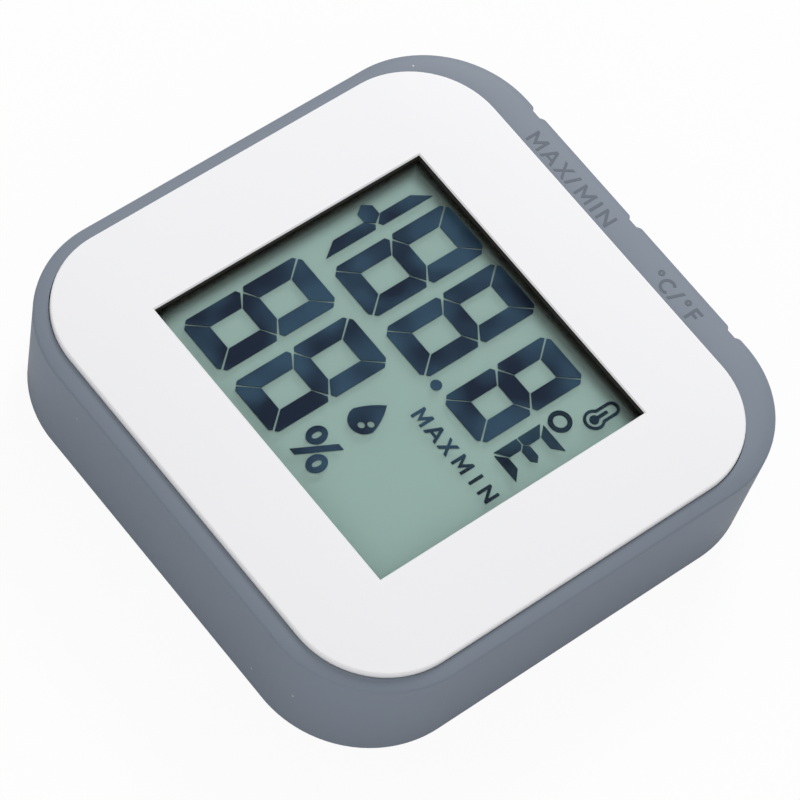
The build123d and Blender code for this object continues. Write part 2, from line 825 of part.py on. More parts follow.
with BuildPart() as positive_contact:
    with BuildSketch(Plane.XY.offset(cell_z)):
        with Locations((cell_radius + contact_thickness / 2, battery_y)):
            Rectangle(contact_thickness, contact_width)
    extrude(amount=well_top_z - cell_z)
    with BuildSketch(Plane.XY.offset(well_top_z)):
        with Locations((cell_radius + contact_thickness / 2, battery_y)):
            Rectangle(contact_thickness, tab_width)
    extrude(amount=board_back_z - well_top_z)

with BuildPart() as battery_door:
    with BuildSketch(Plane.XY.offset(back_z)):
        with Locations((0, battery_y)):
            Circle(door_radius)
    extrude(amount=door_top_z - back_z)
    chamfer(battery_door.edges().group_by(Axis.Z)[0], island_gap)
    with BuildSketch(battery_level(door_top_z - lug_thickness)):
        for number in range(lug_count):
            add(sector(number * 360 / lug_count, lug_angle, door_radius + lug_reach))
    extrude(amount=lug_thickness)
    with BuildSketch(Plane.XY.offset(back_z)):
        with Locations((0, battery_y)):
            SlotOverall(coin_slot_length, coin_slot_width)
    extrude(amount=coin_slot_depth, mode=Mode.SUBTRACT)

with BuildPart() as stand_leg:
    with BuildSketch(Plane.XY.offset(back_z)):
        with Locations((0, stand_axis_y - stand_length / 2)):
            Rectangle(stand_width, stand_length)
    extrude(amount=stand_thickness)
    fillet(
        stand_leg.edges().filter_by(Axis.Z).sort_by(Axis.Y)[:2],
        stand_tip_corner,
    )
    with BuildSketch(Plane(origin=(-stand_width / 2, stand_axis_y, stand_axis_z), z_dir=(1, 0, 0))):
        Circle(knuckle_radius)
    extrude(amount=stand_width)
    with BuildSketch(Plane(origin=(-stand_width / 2, stand_axis_y, stand_axis_z), z_dir=(1, 0, 0))):
        Circle(stand_pin_radius + stand_pin_clearance)
    extrude(amount=stand_width, mode=Mode.SUBTRACT)
    with BuildSketch(Plane.XY.offset(back_z)):
        with Locations((0, stand_axis_y - stand_length + 2 * rib_pitch)):
            with GridLocations(rib_pitch, rib_pitch, 1, rib_count):
                SlotOverall(stand_width / 2, rib_width)
    extrude(amount=rib_depth, mode=Mode.SUBTRACT)

with BuildPart() as stand_pin:
    with BuildSketch(Plane(origin=(0, stand_axis_y, stand_axis_z), z_dir=(1, 0, 0))):
        Circle(stand_pin_radius)
    extrude(amount=stand_width / 2 + stand_gap + stand_pin_grip, both=True)

with BuildPart() as magnets:
    with BuildSketch(Plane.XY.offset(floor_top_z)):
        with Locations((-magnet_x, magnet_y), (magnet_x, magnet_y)):
            Circle(magnet_radius)
    extrude(amount=magnet_thickness)


def make_screws(x, y, seat_z, radius, head_radius, head_height, length):
    """Four pan head screws driven from the back, heads below seat_z, as one group."""
    with BuildPart() as screws:
        with BuildSketch(level(seat_z)):
            with GridLocations(2 * x, 2 * y, 2, 2):
                Circle(radius)
        extrude(amount=length)
        with BuildSketch(level(seat_z - head_height)):
            with GridLocations(2 * x, 2 * y, 2, 2):
                Circle(head_radius)
        extrude(amount=head_height)
        with BuildSketch(level(seat_z - head_height)):
            with GridLocations(2 * x, 2 * y, 2, 2):
                Rectangle(2 * drive_radius, drive_radius / 2)
                Rectangle(drive_radius / 2, 2 * drive_radius)
        extrude(amount=drive_depth, mode=Mode.SUBTRACT)
    return screws.part


case_screws = make_screws(
    boss_x,
    boss_y,
    head_seat_z,
    screw_radius,
    screw_head_radius,
    screw_head_height,
    screw_length + floor_top_z - head_seat_z,
)
board_screws = make_screws(
    post_x,
    post_y,
    board_back_z,
    board_screw_radius,
    board_screw_head_radius,
    board_screw_head_height,
    board_screw_length,
)

pieces = {
    "silicone_sleeve": silicone_sleeve.part,
    "max_min_key": max_min_key,
    "unit_key": unit_key,
    "front_case": front_case.part,
    "display_gasket": display_gasket.part,
    "lcd_front_glass": lcd_front_glass.part,
    "lcd_segments": lcd_segments.part,
    "lcd_rear_glass": lcd_rear_glass.part,
    "lcd_reflector": lcd_reflector.part,
    "lcd_holder": lcd_holder.part,
    "zebra_strip": zebra_strip.part,
    "circuit_board": circuit_board.part,
    "max_min_switch": max_min_switch,
    "unit_switch": unit_switch,
    "max_min_plunger": max_min_plunger,
    "unit_plunger": unit_plunger,
    "controller_chip": controller_chip.part,
    "board_capacitors": board_capacitors.part,
    "crystal": crystal.part,
    "humidity_sensor": humidity_sensor.part,
    "temperature_probe": temperature_probe.part,
    "back_case": back_case.part,
    "coin_cell": coin_cell.part,
    "negative_contact": negative_contact.part,
    "positive_contact": positive_contact.part,
    "battery_door": battery_door.part,
    "stand_leg": stand_leg.part,
    "stand_pin": stand_pin.part,
    "magnets": magnets.part,
    "case_screws": case_screws,
    "board_screws": board_screws,
}
for name, piece in pieces.items():
    piece.label = name
    export_step(piece, f"parts/{name}.step")
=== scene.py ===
"""Looks of a small square temperature and humidity meter in a silicone sleeve.

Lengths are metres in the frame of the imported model: the meter lies on its back, +Z comes out
of the display, and +Y points to the edge with the two keys.
"""

import json
import logging
import math
from dataclasses import dataclass, field
from enum import Enum

import bmesh
import bpy
import numpy as np
from mathutils import Matrix, Vector
from mathutils.geometry import tessellate_polygon

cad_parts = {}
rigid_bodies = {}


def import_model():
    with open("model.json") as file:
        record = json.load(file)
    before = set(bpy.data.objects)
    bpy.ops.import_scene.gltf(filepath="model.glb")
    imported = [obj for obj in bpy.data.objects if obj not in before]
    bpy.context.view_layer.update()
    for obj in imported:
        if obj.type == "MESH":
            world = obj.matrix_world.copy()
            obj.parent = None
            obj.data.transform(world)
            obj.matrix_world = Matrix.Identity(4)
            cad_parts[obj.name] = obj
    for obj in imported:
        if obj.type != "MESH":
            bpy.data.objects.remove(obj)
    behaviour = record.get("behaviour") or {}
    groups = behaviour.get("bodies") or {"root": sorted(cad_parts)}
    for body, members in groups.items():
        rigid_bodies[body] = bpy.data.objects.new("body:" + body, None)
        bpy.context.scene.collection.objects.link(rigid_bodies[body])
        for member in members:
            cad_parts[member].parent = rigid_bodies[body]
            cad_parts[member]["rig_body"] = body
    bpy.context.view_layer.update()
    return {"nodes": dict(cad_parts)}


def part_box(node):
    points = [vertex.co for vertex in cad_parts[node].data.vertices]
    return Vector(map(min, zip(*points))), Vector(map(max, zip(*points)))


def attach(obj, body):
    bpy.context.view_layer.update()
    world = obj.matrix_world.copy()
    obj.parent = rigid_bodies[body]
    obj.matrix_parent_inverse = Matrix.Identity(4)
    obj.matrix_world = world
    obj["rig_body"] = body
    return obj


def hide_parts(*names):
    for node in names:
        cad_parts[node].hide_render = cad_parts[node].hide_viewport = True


log = logging.getLogger("meter")

MM = 0.001
WELD = 1e-7
SHARP_ANGLE = math.radians(32)
PHOTO_SIDE = 800
SENSOR_MM = 36.0

Color = tuple[float, float, float]
Loop = list[tuple[float, float]]


class Sum(Enum):
    """The arithmetic that the materials use, with Blender's names for it."""

    BELOW = "LESS_THAN"
    ABOVE = "GREATER_THAN"
    MINUS = "SUBTRACT"
    TIMES = "MULTIPLY"
    POWER = "POWER"
    LARGER = "MAXIMUM"


@dataclass(frozen=True)
class Graph:
    """A tree of shader nodes, with short ways to add to it."""

    tree: bpy.types.NodeTree

    def new(self, kind: str) -> bpy.types.Node:
        """Adds a shader node of a kind."""
        return self.tree.nodes.new(f"ShaderNode{kind}")

    def link(self, start: bpy.types.NodeSocket, end: bpy.types.NodeSocket) -> None:
        """Joins an output to an input."""
        self.tree.links.new(start, end)

    def noise(self, place: bpy.types.NodeSocket, scale: float, detail: float) -> bpy.types.NodeSocket:
        """Adds a noise.

        Args:
            place: The coordinates.
            scale: How many patches there are to a metre.
            detail: How many finer layers it has.

        Returns:
            The noise's value, from 0 to 1.
        """
        noise = self.new("TexNoise")
        noise.inputs["Scale"].default_value = scale
        noise.inputs["Detail"].default_value = detail
        self.link(place, noise.inputs["Vector"])
        return noise.outputs["Fac"]

    def math(self, operation: Sum, first: bpy.types.NodeSocket, second: bpy.types.NodeSocket | float,
             clamp: bool = False) -> bpy.types.NodeSocket:
        """Adds one step of arithmetic.

        Args:
            operation: What the step does.
            first: The first number.
            second: The second one, a number or a socket.
            clamp: Whether the result is kept from 0 to 1.

        Returns:
            The result's socket.
        """
        step = self.new("Math")
        step.operation = operation.value
        step.use_clamp = clamp
        self.link(first, step.inputs[0])
        if isinstance(second, (int, float)):
            step.inputs[1].default_value = second
        else:
            self.link(second, step.inputs[1])
        return step.outputs["Value"]

    def blend(self, factor: bpy.types.NodeSocket, first: bpy.types.NodeSocket | Color,
              second: Color) -> bpy.types.NodeSocket:
        """Adds a mix of two colours.

        Args:
            factor: The share of the second colour.
            first: The first colour, plain or from a socket.
            second: The second colour.

        Returns:
            The mixed colour's socket.
        """
        mix = self.new("Mix")
        mix.data_type = "RGBA"
        if isinstance(first, tuple):
            mix.inputs["A"].default_value = (*first, 1)
        else:
            self.link(first, mix.inputs["A"])
        mix.inputs["B"].default_value = (*second, 1)
        self.link(factor, mix.inputs["Factor"])
        return mix.outputs["Result"]

    def surface(self, share: bpy.types.NodeSocket | float, first: bpy.types.Node,
                second: bpy.types.Node) -> None:
        """Mixes two shaders into the material's surface.

        Args:
            share: The share of the second shader.
            first: The first shader.
            second: The second shader.
        """
        out = self.new("OutputMaterial")
        mix = self.new("MixShader")
        if isinstance(share, float):
            mix.inputs["Fac"].default_value = share
        else:
            self.link(share, mix.inputs["Fac"])
        self.link(first.outputs[0], mix.inputs[1])
        self.link(second.outputs[0], mix.inputs[2])
        self.link(mix.outputs["Shader"], out.inputs["Surface"])


def new_material(name: str, bare: bool = False) -> tuple[bpy.types.Material, Graph]:
    """Makes a material.

    Args:
        name: Its name.
        bare: Whether its first nodes are taken out.

    Returns:
        The material, and the graph of its nodes.
    """
    material = bpy.data.materials.new(name)
    material.use_nodes = True
    if bare:
        material.node_tree.nodes.clear()
    return material, Graph(material.node_tree)


def toned(color: Color, share: float) -> Color:
    """A colour made lighter or darker by a share, and kept under 1."""
    return tuple(min(1, channel * share) for channel in color)


@dataclass(frozen=True)
class Finish:
    """A moulded or pressed surface: colour with soft patches, gloss, and a fine grain.

    Sizes of patches and grain are in metres, and the grain's depth is in metres too.
    """

    name: str
    color: Color
    roughness: float
    metallic: float = 0.0
    specular: float = 0.5
    patch_size: float = 0.012
    patch_strength: float = 0.06
    patch_detail: float = 3.0
    gloss_swing: float = 0.05
    grain_size: float = 0.0004
    grain_depth: float = 0.000004
    grain_detail: float = 4.0
    dust: float = 0.0
    dust_cell: float = 0.0032
    dust_share: float = 0.035
    dust_skip: float = 0.35
    dust_color: Color = (0.62, 0.64, 0.67)

    def build(self) -> bpy.types.Material:
        """Makes the material.

        Returns:
            The new material, with its patterns on Object coordinates.
        """
        material, graph = new_material(self.name)
        shader = graph.tree.nodes["Principled BSDF"]
        shader.inputs["Metallic"].default_value = self.metallic
        shader.inputs["Specular IOR Level"].default_value = self.specular
        place = graph.new("TexCoord").outputs["Object"]
        patches = graph.noise(place, 1 / self.patch_size, self.patch_detail)
        dark, light = toned(self.color, 1 - self.patch_strength), toned(self.color, 1 + self.patch_strength)
        tone = graph.blend(patches, dark, light)
        if self.dust:
            tone = self._dust(graph, place, tone)
        graph.link(tone, shader.inputs["Base Color"])
        gloss = graph.new("MapRange")
        gloss.inputs["To Min"].default_value = max(0, self.roughness - self.gloss_swing)
        gloss.inputs["To Max"].default_value = min(1, self.roughness + self.gloss_swing)
        graph.link(patches, gloss.inputs["Value"])
        graph.link(gloss.outputs["Result"], shader.inputs["Roughness"])
        bump = graph.new("Bump")
        bump.inputs["Distance"].default_value = self.grain_depth
        graph.link(graph.noise(place, 1 / self.grain_size, self.grain_detail), bump.inputs["Height"])
        graph.link(bump.outputs["Normal"], shader.inputs["Normal"])
        return material

    def _dust(self, graph: Graph, place: bpy.types.NodeSocket,
              tone: bpy.types.NodeSocket) -> bpy.types.NodeSocket:
        """Adds a few pale specks of lint, at the centres of some cells of a pattern.

        Args:
            graph: The material's nodes.
            place: The coordinates.
            tone: The colour under the specks.

        Returns:
            The colour with its specks.
        """
        cells = graph.new("TexVoronoi")
        cells.inputs["Scale"].default_value = 1 / self.dust_cell
        graph.link(place, cells.inputs["Vector"])
        near = graph.math(Sum.BELOW, cells.outputs["Distance"], self.dust_share)
        picked = graph.new("SeparateColor")
        graph.link(cells.outputs["Color"], picked.inputs["Color"])
        some = graph.math(Sum.ABOVE, picked.outputs["Red"], self.dust_skip)
        specks = graph.math(Sum.TIMES, near, some)
        return graph.blend(graph.math(Sum.TIMES, specks, self.dust), tone, self.dust_color)


@dataclass(frozen=True)
class FrontGlass:
    """Thin glass that the figures show through, with a slight gloss."""

    name: str
    tint: Color
    gloss_index: float = 1.1
    gloss_roughness: float = 0.12

    def build(self) -> bpy.types.Material:
        """Makes the material.

        Returns:
            The new material: clear, with more gloss at a low angle on its outer faces alone.
        """
        material, graph = new_material(self.name, bare=True)
        clear = graph.new("BsdfTransparent")
        clear.inputs["Color"].default_value = (*self.tint, 1)
        shine = graph.new("BsdfGlossy")
        shine.inputs["Roughness"].default_value = self.gloss_roughness
        edge = graph.new("Fresnel")
        edge.inputs["IOR"].default_value = self.gloss_index
        inner = graph.new("NewGeometry").outputs["Backfacing"]
        graph.surface(graph.math(Sum.MINUS, edge.outputs["Fac"], inner, clamp=True), clear, shine)
        return material


@dataclass(frozen=True)
class DisplayField:
    """The misty grey-green behind the figures, with a painted brown shadow under two window edges.

    At a distance d from the left or the upper edge, the painted shadow's share is (1 - d / w) squared, w
    being how far it reaches.
    The mist is the share of light that stays here, and the rest passes to what lies below.
    """

    name: str
    color: Color
    mist: float
    left_edge: float
    upper_edge: float
    # How far the painted shadow reaches from the two edges, its colour, its strength and its fall-off.
    painted_shadow_reach: float = 2.2 * MM
    painted_shadow: Color = (0.035, 0.030, 0.022)
    painted_shadow_share: float = 0.95
    painted_shadow_power: float = 2.0
    grain_scale: float = 9000.0
    grain_detail: float = 2.0
    grain_strength: float = 0.12

    def build(self) -> bpy.types.Material:
        """Makes the material.

        Returns:
            The new material, with its shade and its fine grain on Object coordinates.
        """
        material, graph = new_material(self.name, bare=True)
        place = graph.new("TexCoord").outputs["Object"]
        axes = graph.new("SeparateXYZ")
        graph.link(place, axes.inputs["Vector"])
        falls = []
        for axis, edge, inward in (("X", self.left_edge, 1), ("Y", self.upper_edge, -1)):
            fall = graph.new("MapRange")
            fall.inputs["From Min"].default_value = edge
            fall.inputs["From Max"].default_value = edge + inward * self.painted_shadow_reach
            fall.inputs["To Min"].default_value = 1
            fall.inputs["To Max"].default_value = 0
            graph.link(axes.outputs[axis], fall.inputs["Value"])
            falls.append(graph.math(Sum.POWER, fall.outputs["Result"], self.painted_shadow_power))
        # Share of the painted shadow: the larger of the two edge fall-offs.
        share = graph.math(Sum.TIMES, graph.math(Sum.LARGER, *falls), self.painted_shadow_share)
        grain = graph.noise(place, self.grain_scale, self.grain_detail)
        dark, light = toned(self.color, 1 - self.grain_strength), toned(self.color, 1 + self.grain_strength)
        paint = graph.new("BsdfDiffuse")
        graph.link(graph.blend(share, graph.blend(grain, dark, light), self.painted_shadow), paint.inputs["Color"])
        graph.surface(self.mist, graph.new("BsdfTransparent"), paint)
        return material


@dataclass(frozen=True)
class DisplayInk:
    """Dark navy figures whose tone drifts from one stroke to the next."""

    name: str
    deep: Color
    pale: Color
    drift: float
    drift_detail: float = 1.0
    deep_end: float = 0.36
    pale_end: float = 0.62
    roughness: float = 0.6
    specular: float = 0.05

    def build(self) -> bpy.types.Material:
        """Makes the material.

        Returns:
            The new material.
        """
        material, graph = new_material(self.name)
        shader = graph.tree.nodes["Principled BSDF"]
        shader.inputs["Roughness"].default_value = self.roughness
        shader.inputs["Specular IOR Level"].default_value = self.specular
        drift = graph.noise(graph.new("TexCoord").outputs["Object"], 1 / self.drift, self.drift_detail)
        ramp = graph.new("ValToRGB")
        ends = ((self.deep_end, self.deep), (self.pale_end, self.pale))
        for element, (position, color) in zip(ramp.color_ramp.elements, ends):
            element.position = position
            element.color = (*color, 1)
        graph.link(drift, ramp.inputs["Fac"])
        graph.link(ramp.outputs["Color"], shader.inputs["Base Color"])
        return material


SILICONE = Finish("sleeve_silicone", (0.172, 0.203, 0.250), 0.55, specular=0.38, patch_size=0.02,
                  patch_strength=0.05, grain_size=0.00022, grain_depth=0.000004, dust=0.75)
# Darker silicone for the key lettering: a painted shade standing in for the shadow inside engraved letters.
MARKING_PAINTED_SHADE = Finish("key_marking_painted_shade", (0.118, 0.140, 0.172), 0.6, specular=0.3, grain_size=0.00022)
WHITE = Finish("white_shell", (0.82, 0.82, 0.835), 0.45, specular=0.25, patch_size=0.03,
               patch_strength=0.008, grain_size=0.00018, grain_depth=0.0000015)
DOOR_WHITE = Finish("door_white", (0.78, 0.78, 0.79), 0.42, patch_size=0.03, patch_strength=0.01,
                    grain_size=0.0002, grain_depth=0.000003)
FOAM = Finish("black_foam", (0.012, 0.012, 0.012), 0.9, specular=0.2, grain_size=0.0002,
              grain_depth=0.00002)
# Near-black painted shade for the window's inner wall, which is white plastic in shadow.
WINDOW_WALL_SHADE = Finish("window_wall_painted_shade", (0.03, 0.026, 0.022), 0.6, specular=0.3)
HOLDER = Finish("holder_plastic", (0.75, 0.75, 0.73), 0.5)
ZEBRA = Finish("zebra_rubber", (0.45, 0.38, 0.38), 0.7, patch_size=0.0006, patch_strength=0.5)
BOARD = Finish("board_laminate", (0.02, 0.14, 0.06), 0.3, patch_size=0.002, patch_strength=0.25)
SWITCH = Finish("switch_plastic", (0.02, 0.02, 0.02), 0.35)
PLUNGER = Finish("plunger_plastic", (0.7, 0.68, 0.6), 0.45)
RESIN = Finish("chip_resin", (0.012, 0.012, 0.012), 0.25)
CERAMIC = Finish("capacitor_ceramic", (0.32, 0.22, 0.14), 0.5)
CELL = Finish("cell_steel", (0.62, 0.61, 0.6), 0.3, metallic=1.0, patch_size=0.004, patch_strength=0.05)
SENSOR = Finish("sensor_plastic", (0.82, 0.82, 0.82), 0.5)
CONTACT = Finish("contact_steel", (0.55, 0.54, 0.5), 0.34, metallic=1.0, patch_size=0.003)
MAGNET = Finish("magnet_nickel", (0.6, 0.6, 0.62), 0.2, metallic=1.0)
FIELD = (0.475, 0.645, 0.605)
INK = DisplayInk("lcd_ink", (0.009, 0.017, 0.036), (0.030, 0.068, 0.112), 0.0055)
FRONT_GLASS = FrontGlass("front_glass", (0.985, 0.99, 0.985))


AnyFinish = Finish | FrontGlass | DisplayField | DisplayInk


def new_piece(name: str, mesh: bpy.types.Mesh, material: bpy.types.Material, body: str) -> bpy.types.Object:
    """Puts a mesh into the scene as a piece of the meter.

    Args:
        name: The piece's name.
        mesh: Its mesh, already in place.
        material: Its finish.
        body: The body that it moves with.

    Returns:
        The new object, at the origin.
    """
    piece = bpy.data.objects.new(name, mesh)
    bpy.context.scene.collection.objects.link(piece)
    mesh.materials.clear()
    mesh.materials.append(material)
    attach(piece, body)
    return piece


def smooth_copy(node: bpy.types.Object, name: str) -> bpy.types.Mesh:
    """Copies a node's triangles, welds them, and shades its round faces smoothly.

    Args:
        node: The node to copy.
        name: The new mesh's name.

    Returns:
        The welded mesh, whose edges over the sharp angle stay sharp.
    """
    mesh = node.data.copy()
    mesh.name = name
    work = bmesh.new()
    work.from_mesh(mesh)
    bmesh.ops.remove_doubles(work, verts=work.verts, dist=WELD)
    bmesh.ops.dissolve_degenerate(work, edges=work.edges, dist=WELD)
    for face in work.faces:
        face.smooth = True
    for edge in work.edges:
        edge.smooth = len(edge.link_faces) == 2 and edge.calc_face_angle(0.0) < SHARP_ANGLE
    work.to_mesh(mesh)
    work.free()
    if "custom_normal" in mesh.attributes:
        mesh.attributes.remove(mesh.attributes["custom_normal"])
    return mesh


@dataclass(frozen=True)
class Alphabet:
    """Plain capitals drawn in a box one unit high, as closed outlines and their holes.

    The shares are of the stroke's thickness, apart from those that name a width or a height.
    """

    stroke: float
    round_steps: int = 28
    slash_share: float = 1.1
    dip: float = 0.12
    v_share: float = 1.9
    fall_share: float = 1.75
    leg_share: float = 1.12
    bar_share: float = 0.85
    bar_level: float = 0.24
    cross_share: float = 1.2
    ring_share: float = 0.85
    least_well: float = 0.03
    c_reach: float = 0.55
    middle_level: float = 0.44
    tongue_width: float = 0.86
    mouth: float = math.radians(48)

    def letter(self, sign: str, width: float) -> list[Loop]:
        """Outlines of one letter.

        Args:
            sign: The letter.
            width: How wide it is, in heights.

        Returns:
            The outline first and then its holes, if it has any.
        """
        drawn = {
            "M": self._letter_m,
            "A": self._letter_a,
            "X": self._letter_x,
            "I": self._letter_i,
            "N": self._letter_n,
            "/": self._slash,
            "°": self._degree,
            "C": self._letter_c,
            "F": self._letter_f,
        }
        return drawn[sign](width)

    def _letter_i(self, width: float) -> list[Loop]:
        """One upright."""
        return [[(0, 0), (width, 0), (width, 1), (0, 1)]]

    def _slash(self, width: float) -> list[Loop]:
        """One leaning bar."""
        foot = self.stroke * self.slash_share
        return [[(0, 0), (foot, 0), (width, 1), (width - foot, 1)]]

    def _letter_m(self, width: float) -> list[Loop]:
        """Two uprights and a V, whose bands have the upright height v_share times the stroke."""
        s, dip = self.stroke, self.dip
        band = s * self.v_share
        return [[(0, 0), (s, 0), (s, 1 - band), (width / 2, dip), (width - s, 1 - band),
                 (width - s, 0), (width, 0), (width, 1), (width - s, 1), (width / 2, dip + band),
                 (s, 1), (0, 1)]]

    def _letter_n(self, width: float) -> list[Loop]:
        """Two uprights and a falling band."""
        s = self.stroke
        band = s * self.fall_share
        return [[(0, 0), (s, 0), (s, 1 - band), (width - s, 0), (width, 0), (width, 1), (width - s, 1),
                 (width - s, band), (s, 1), (0, 1)]]

    def _letter_a(self, width: float) -> list[Loop]:
        """Two legs x = y (w - a) / 2 with a bar, and the hole above the bar."""
        a = self.stroke * self.leg_share
        run = (width - a) / 2
        low, high = self.bar_level, self.bar_level + self.stroke * self.bar_share
        peak = (width / 2 - a) / run
        outline = [(0, 0), (a, 0), (a + low * run, low), (width - a - low * run, low), (width - a, 0),
                   (width, 0), (width / 2 + a / 2, 1), (width / 2 - a / 2, 1)]
        hole = [(a + high * run, high), (width / 2, peak), (width - a - high * run, high)]
        return [outline, hole]

    def _letter_x(self, width: float) -> list[Loop]:
        """Two bands x = y (w - a) that cross at half height."""
        a = self.stroke * self.cross_share
        run = width - a
        return [[(0, 0), (a, 0), (width / 2, (run - a) / (2 * run)), (run, 0), (width, 0),
                 (a + run / 2, 0.5), (width, 1), (run, 1), (width / 2, width / (2 * run)), (a, 1),
                 (0, 1), (run / 2, 0.5)]]

    def _degree(self, width: float) -> list[Loop]:
        """A small ring whose top is level with the capitals."""
        angles = np.linspace(0, math.tau, self.round_steps, endpoint=False)
        rim = width / 2
        well = max(rim - self.stroke * self.ring_share, self.least_well)
        rings = []
        for radius, turn in ((rim, 1), (well, -1)):
            turned = [turn * t for t in angles]
            rings.append([(rim + radius * math.cos(t), 1 - rim + radius * math.sin(t)) for t in turned])
        return rings

    def _letter_c(self, width: float) -> list[Loop]:
        """An open oval ring, half a height tall from its middle."""
        angles = np.linspace(self.mouth, math.tau - self.mouth, self.round_steps)
        across, thin = width * self.c_reach, self.stroke
        rim = [(across + across * math.cos(t), 0.5 + 0.5 * math.sin(t)) for t in angles]
        well = [(across + (across - thin) * math.cos(t), 0.5 + (0.5 - thin) * math.sin(t)) for t in angles]
        return [rim + well[::-1]]

    def _letter_f(self, width: float) -> list[Loop]:
        """An upright and two bars."""
        s, level = self.stroke, self.middle_level
        tongue = width * self.tongue_width
        return [[(0, 0), (s, 0), (s, level), (tongue, level), (tongue, level + s), (s, level + s),
                 (s, 1 - s), (width, 1 - s), (width, 1), (0, 1)]]


@dataclass(frozen=True)
class Word:
    """A word with the left and the right end of each of its letters, in metres."""

    text: str
    spans: tuple[tuple[float, float], ...]
    base: float
    height: float

    def mesh(self, name: str, alphabet: Alphabet, z: float, thickness: float) -> bpy.types.Mesh:
        """Raises the word as a thin plate.

        Args:
            name: The mesh's name.
            alphabet: How the letters are drawn.
            z: Level of the underside.
            thickness: Height of the plate.

        Returns:
            The mesh: two caps and a wall along every outline.
        """
        points: list[tuple[float, float, float]] = []
        faces: list[tuple[int, ...]] = []
        for sign, (left, right) in zip(self.text, self.spans):
            loops = alphabet.letter(sign, (right - left) / self.height)
            size = self.height
            placed = [[(left + x * size, self.base + y * size) for x, y in loop] for loop in loops]
            flat = [[Vector((x, y, 0)) for x, y in loop] for loop in placed]
            first, count = len(points), sum(len(loop) for loop in placed)
            for level in (z, z + thickness):
                points += [(x, y, level) for loop in placed for x, y in loop]
            for a, b, c in tessellate_polygon(flat):
                faces.append((first + a, first + b, first + c))
                faces.append((first + count + c, first + count + b, first + count + a))
            start = first
            for loop in placed:
                for index in range(len(loop)):
                    near, far = start + index, start + (index + 1) % len(loop)
                    faces.append((near, far, far + count, near + count))
                start += len(loop)
        mesh = bpy.data.meshes.new(name)
        mesh.from_pydata(points, [], faces)
        work = bmesh.new()
        work.from_mesh(mesh)
        bmesh.ops.recalc_face_normals(work, faces=work.faces)
        work.to_mesh(mesh)
        work.free()
        return mesh


def spans_mm(*ends: tuple[float, float]) -> tuple[tuple[float, float], ...]:
    """Turns letter ends from millimetres to metres."""
    return tuple((left * MM, right * MM) for left, right in ends)


@dataclass
class Dresser:
    """Shared finishes and nodes that every sub-assembly draws on."""

    nodes: dict[str, bpy.types.Object]
    made: dict[str, bpy.types.Material] = field(default_factory=dict)

    def finish(self, finish: AnyFinish) -> bpy.types.Material:
        """The material of a finish, made the first time that it is asked for."""
        if finish.name not in self.made:
            self.made[finish.name] = finish.build()
        return self.made[finish.name]

    def body(self, node: str) -> str:
        """The name of the body that a node belongs to."""
        return self.nodes[node]["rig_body"]

    def reface(self, node: str, finish: AnyFinish) -> bpy.types.Object:
        """Puts a smoothly shaded copy in a node's place.

        Args:
            node: The node's name.
            finish: The copy's finish.

        Returns:
            The copy.
        """
        source = self.nodes[node]
        mesh = smooth_copy(source, f"{node}_form")
        piece = new_piece(f"{node}_form", mesh, self.finish(finish), self.body(node))
        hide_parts(node)
        log.info("%s: %d faces", piece.name, len(mesh.polygons))
        return piece

    def paint(self, node: str, finish: AnyFinish) -> None:
        """Gives a node that keeps its own mesh a new finish."""
        mesh = self.nodes[node].data
        mesh.materials.clear()
        mesh.materials.append(self.finish(finish))
        log.info("%s: %s", node, finish.name)


@dataclass
class SoftSleeve:
    """The silicone sleeve with its two keys and their markings."""

    dresser: Dresser
    rise: float = 0.02 * MM
    alphabet: Alphabet = Alphabet(stroke=0.17)
    extremes: Word = Word(
        "MAX/MIN",
        spans_mm((-14.0, -12.1), (-11.7, -9.85), (-9.55, -7.95), (-7.75, -6.85), (-6.2, -4.3), (-3.7, -3.35),
                 (-2.7, -1.1)),
        26.85 * MM,
        1.75 * MM,
    )
    units: Word = Word(
        "°C/°F",
        spans_mm((5.95, 6.7), (7.0, 8.65), (8.75, 9.75), (10.2, 10.95), (11.5, 12.6)),
        26.85 * MM,
        1.85 * MM,
    )

    def build(self) -> None:
        """Makes the sleeve, the keys and the markings beside the plate."""
        for node in ("silicone_sleeve", "max_min_key", "unit_key"):
            self.dresser.reface(node, SILICONE)
        lip_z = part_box("silicone_sleeve")[1].z
        for name, word in (("extremes_marking", self.extremes), ("units_marking", self.units)):
            mesh = word.mesh(name, self.alphabet, lip_z, self.rise)
            # The raised letters take the darker silicone, a painted shade for engraved lettering.
            piece = new_piece(name, mesh, self.dresser.finish(MARKING_PAINTED_SHADE), "root")
            log.info("%s: %d faces", name, len(mesh.polygons))


